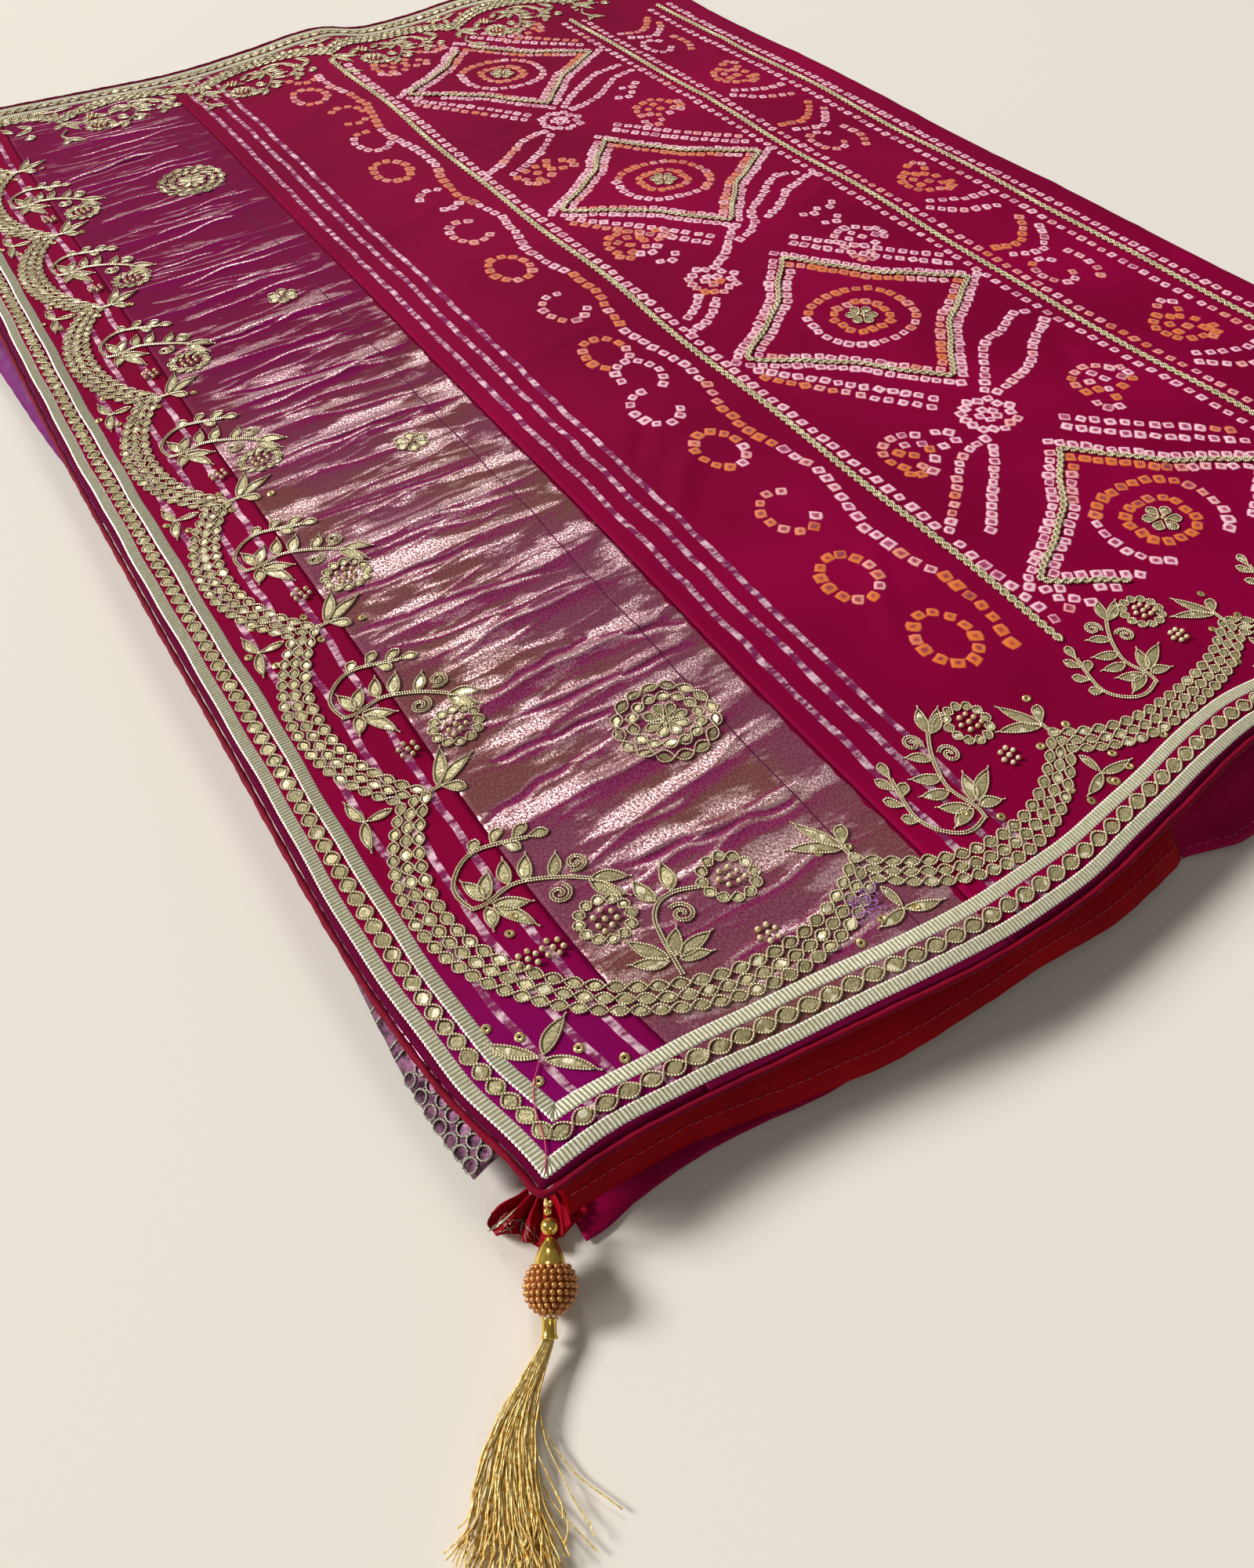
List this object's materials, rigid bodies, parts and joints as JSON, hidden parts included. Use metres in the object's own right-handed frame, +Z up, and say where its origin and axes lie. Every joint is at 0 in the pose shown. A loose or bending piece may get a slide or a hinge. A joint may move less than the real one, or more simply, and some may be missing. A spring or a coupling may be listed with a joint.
{
  "type": "folded bandhani saree with gota border and tassel",
  "caption": "Tie-dyed wine saree folded flat, pallu end up, with zari tissue panel, gota border and sprays, diamond motifs and a beaded corner tassel.",
  "frame": {"origin": "centre of the folded cloth, on the surface that it lies on", "axes": "+X along the saree's length from the pallu end to the fold, +Y across its width to the far selvedge, +Z up"},
  "size_m": [0.8728, 1.251, 0.0378],
  "materials": {
    "wine_georgette": "soft satin georgette with tied and dyed dots",
    "zari_tissue": "metallic tissue, crushed",
    "red_edge": "deep red, softly napped",
    "magenta_cloth": "plain satin",
    "violet_cloth": "plain satin",
    "gold_gota": "dull gold metallic ribbon and cord",
    "silver_gota": "ribbed pale metallic ribbon",
    "metal_thread": "gold metallic thread",
    "brass_beads": "polished beads",
    "copper_beads": "ball covered with small coppery beads"
  },
  "bodies": {
    "root": {"folded_layers": "magenta_cloth", "bandhani_field": "wine_georgette", "zari_tissue_panel": "zari_tissue", "pallu_end_cloth": "wine_georgette", "hem_roll": "red_edge", "red_lining": "red_edge", "magenta_ply": "magenta_cloth", "pink_ply": "magenta_cloth", "violet_ply": "violet_cloth", "zari_ply": "zari_tissue", "corner_ruffle": "red_edge", "gota_ribbon_outer": "silver_gota", "gota_ribbon_inner": "silver_gota", "gota_chain": "gold_gota", "gota_scallop_band": "gold_gota", "spray_pallu_1": "gold_gota", "spray_pallu_2": "gold_gota", "spray_pallu_3": "gold_gota", "spray_pallu_4": "gold_gota", "spray_pallu_5": "gold_gota", "spray_pallu_6": "gold_gota", "spray_pallu_7": "gold_gota", "spray_near_1": "gold_gota", "spray_near_2": "gold_gota", "spray_near_3": "gold_gota", "spray_near_4": "gold_gota", "spray_far_1": "gold_gota", "spray_far_2": "gold_gota", "spray_far_3": "gold_gota", "spray_far_4": "gold_gota", "spray_corner": "gold_gota", "medallion_near": "gold_gota", "medallion_far": "gold_gota", "flower_near": "gold_gota", "flower_far": "gold_gota", "diamond_1_rope": "gold_gota", "diamond_2_rope": "gold_gota", "diamond_3_rope": "gold_gota", "diamond_4_rope": "gold_gota", "diamond_1_flower": "gold_gota", "diamond_2_flower": "gold_gota", "diamond_3_flower": "gold_gota", "diamond_4_flower": "gold_gota", "gota_line_1": "gold_gota", "gota_line_2": "gold_gota", "gota_line_3": "gold_gota", "tassel_loop": "metal_thread", "tassel_small_bead": "brass_beads", "tassel_bead": "brass_beads", "tassel_cap": "brass_beads", "tassel_ball": "copper_beads", "tassel_ferrule": "brass_beads", "tassel_strands": "metal_thread"}
  },
  "joints": []
}
